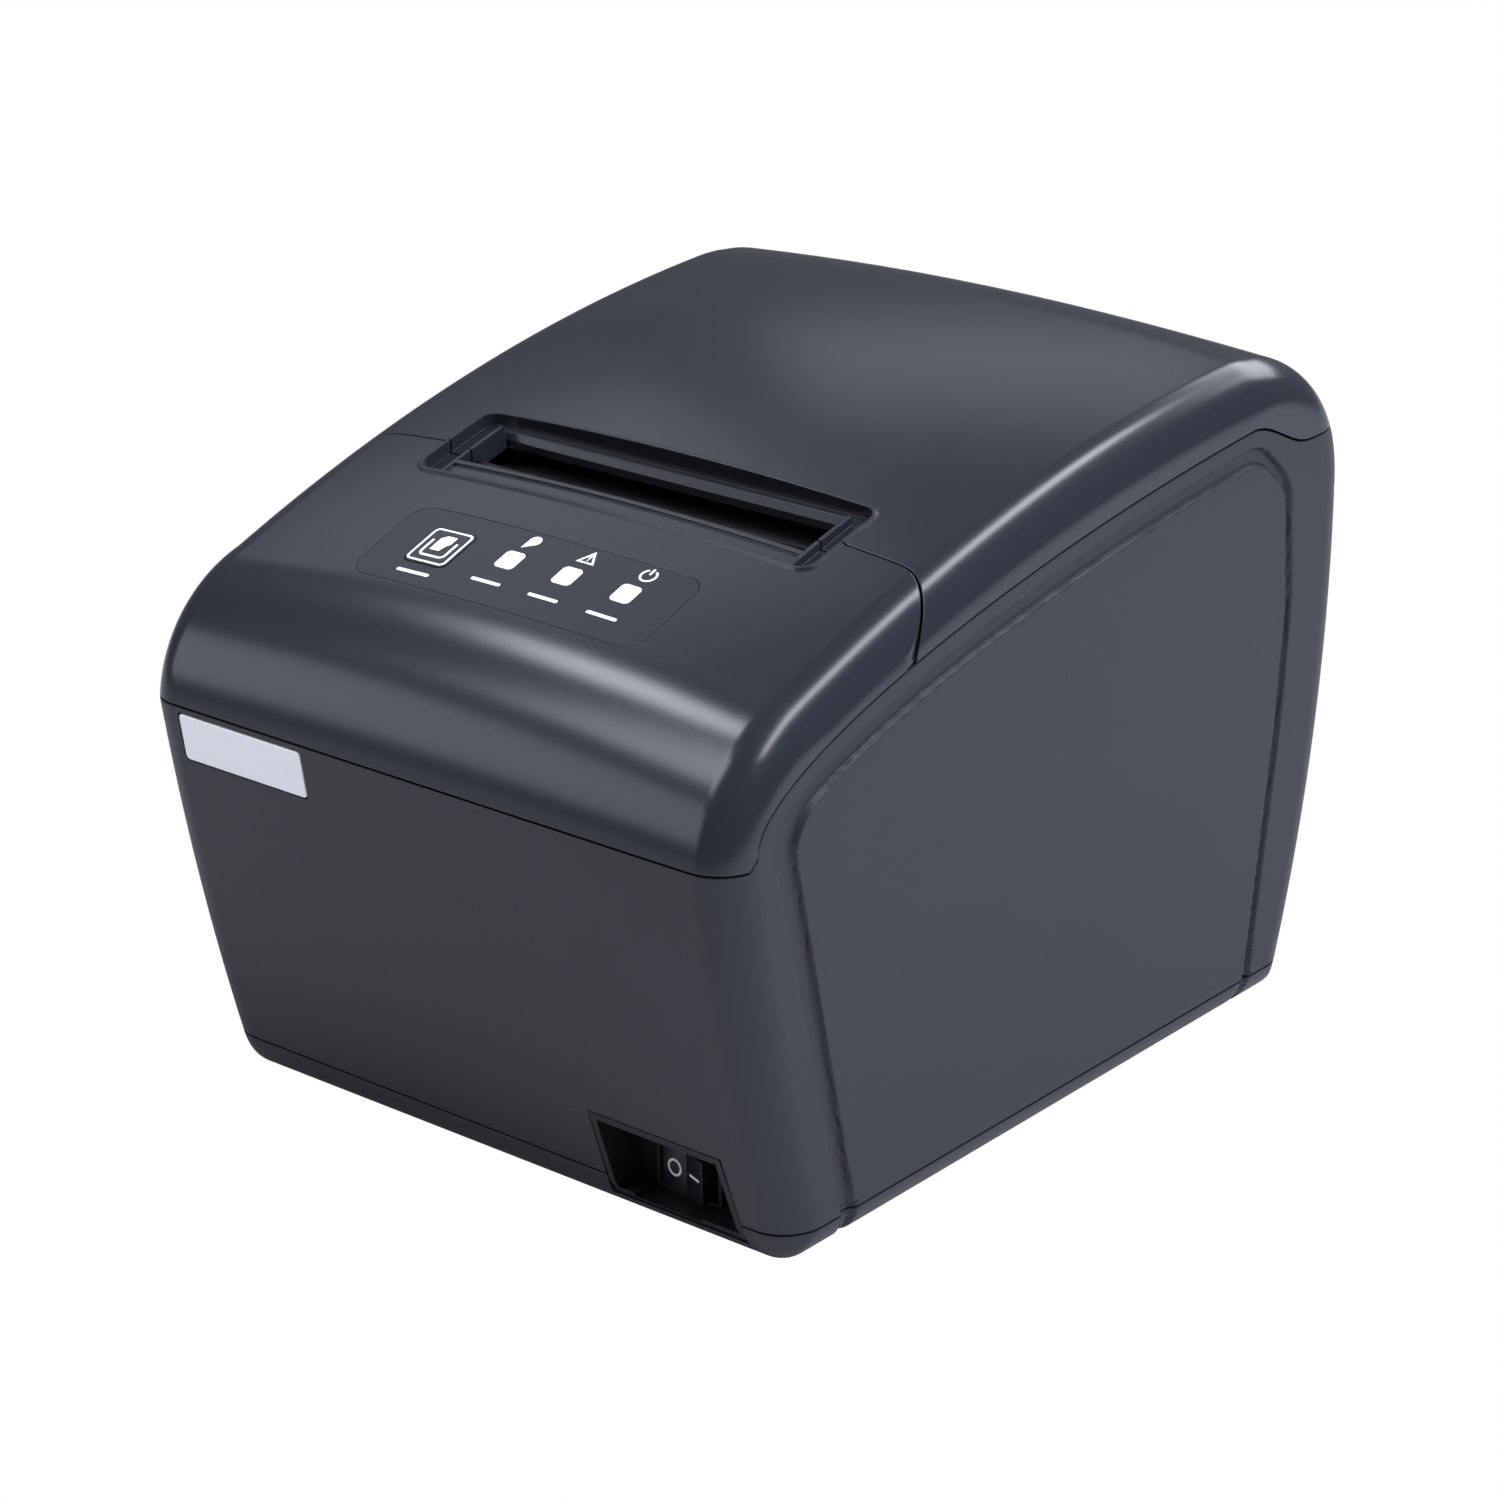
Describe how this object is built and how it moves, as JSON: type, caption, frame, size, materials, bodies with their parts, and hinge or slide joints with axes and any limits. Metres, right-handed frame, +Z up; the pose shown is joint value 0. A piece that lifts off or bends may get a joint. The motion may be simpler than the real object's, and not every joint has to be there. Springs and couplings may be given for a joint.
{
  "type": "thermal receipt printer",
  "caption": "Countertop thermal receipt printer with a rounded black case, hinged paper lid, slot on top, feed button, status windows, rear connectors and front power rocker.",
  "frame": {"origin": "middle of the footprint at the bottom of the rubber feet", "axes": "+X to the printer's right seen from its front, -Y out of the front face, +Z up"},
  "size_m": [0.145, 0.1885, 0.1385],
  "materials": {
    "case_black": "satin, finely textured",
    "case_gloss": "semi gloss",
    "overlay_film": "satin printed film",
    "white_plastic": "gloss",
    "black_rubber": "matte",
    "dark_plastic": "matte",
    "nylon": "satin",
    "brass": "machined",
    "aluminium": "satin",
    "circuit_board": "lacquered",
    "ceramic": "glazed",
    "chip_plastic": "matte",
    "steel": "brushed"
  },
  "bodies": {
    "base": {"base_tray": "case_black", "main_housing": "case_black", "front_cover": "case_gloss", "panel_overlay": "overlay_film", "tear_bar": "steel", "badge_plate": "white_plastic", "foot_fl": "black_rubber", "foot_fr": "black_rubber", "foot_rl": "black_rubber", "foot_rr": "black_rubber", "screw_fl": "steel", "screw_fr": "steel", "screw_rl": "steel", "screw_rr": "steel", "led_paper": "white_plastic", "led_error": "white_plastic", "led_power": "white_plastic", "tact_switch": "steel", "key_board": "circuit_board", "switch_bezel": "dark_plastic", "power_switch": "dark_plastic", "hinge_ear_l": "case_black", "hinge_ear_r": "case_black", "hinge_shaft": "steel", "mech_side_l": "steel", "mech_side_r": "steel", "mech_frame": "steel", "head_spring_l": "steel", "head_spring_r": "steel", "feed_motor": "steel", "cutter_motor": "steel", "paper_guide": "dark_plastic", "paper_bucket": "dark_plastic", "main_board": "circuit_board", "board_parts": "chip_plastic", "io_panel": "dark_plastic", "power_socket": "steel", "data_sockets": "steel", "serial_socket": "steel"},
    "lid": {"paper_lid": "case_gloss", "lid_barrel": "case_gloss", "lid_arm_l": "dark_plastic", "lid_arm_r": "dark_plastic", "lid_liner": "dark_plastic", "fixed_blade": "steel", "platen_bush_l": "nylon", "platen_bush_r": "nylon"},
    "platen": {"platen_roller": "black_rubber", "platen_shaft": "steel", "platen_gear": "nylon"},
    "idler": {"idler_gear": "nylon"},
    "feed_pinion": {"motor_pinion": "brass"},
    "head": {"heat_sink": "aluminium", "print_head": "ceramic"},
    "feed_key": {"feed_button": "case_gloss", "button_plunger": "nylon"},
    "rocker": {"power_rocker": "dark_plastic"},
    "blade": {"cutter_blade": "steel"},
    "cutter_wheel": {"cutter_gear": "nylon"},
    "cutter_drive": {"cutter_pinion": "brass"}
  },
  "joints": [
    {"name": "lid_hinge", "type": "hinge", "parent": "base", "child": "lid", "pos_m": [0, 0.0862, 0.1105], "axis": [-1, 0, 0], "range_deg": [0, 65]},
    {"name": "platen_spin", "type": "hinge", "parent": "lid", "child": "platen", "pos_m": [0, -0.0244, 0.1065], "axis": [1, 0, 0], "continuous": true},
    {"name": "idler_spin", "type": "hinge", "parent": "base", "child": "idler", "pos_m": [0, -0.0244, 0.0855], "axis": [1, 0, 0], "continuous": true},
    {"name": "pinion_spin", "type": "hinge", "parent": "base", "child": "feed_pinion", "pos_m": [0, -0.03478, 0.07172], "axis": [1, 0, 0], "continuous": true},
    {"name": "head_press", "type": "hinge", "parent": "base", "child": "head", "pos_m": [0, -0.0346, 0.0915], "axis": [1, 0, 0], "range_deg": [0, 3], "stiffness_Nm_per_rad": 2, "springref_deg": -5.73, "deforming": ["head_spring_l", "head_spring_r"]},
    {"name": "feed_press", "type": "slide", "parent": "base", "child": "feed_key", "axis": [0, 0.3276, -0.9448], "range_m": [0, 0.0006], "stiffness_N_per_m": 400, "springref_m": -0.001},
    {"name": "rocker_tilt", "type": "hinge", "parent": "base", "child": "rocker", "pos_m": [0.0422, -0.0676, 0.0112], "axis": [0, 0, 1], "range_deg": [0, 14]},
    {"name": "cutter_slide", "type": "slide", "parent": "base", "child": "blade", "axis": [0, 1, 0], "range_m": [0, 0.0066]},
    {"name": "cutter_wheel_spin", "type": "hinge", "parent": "base", "child": "cutter_wheel", "pos_m": [0, -0.0466, 0.10655], "axis": [1, 0, 0], "range_deg": [-73, 0]},
    {"name": "cutter_drive_spin", "type": "hinge", "parent": "base", "child": "cutter_drive", "pos_m": [0, -0.05349, 0.09965], "axis": [1, 0, 0], "range_deg": [0, 85]}
  ],
  "couplings": [
    {"joint": "idler_spin", "follows": "platen_spin", "ratio": -0.64706},
    {"joint": "pinion_spin", "follows": "platen_spin", "ratio": 1.8333},
    {"joint": "cutter_wheel_spin", "follows": "cutter_slide", "rad_per_m": -190.48},
    {"joint": "cutter_drive_spin", "follows": "cutter_slide", "rad_per_m": 222.22}
  ]
}
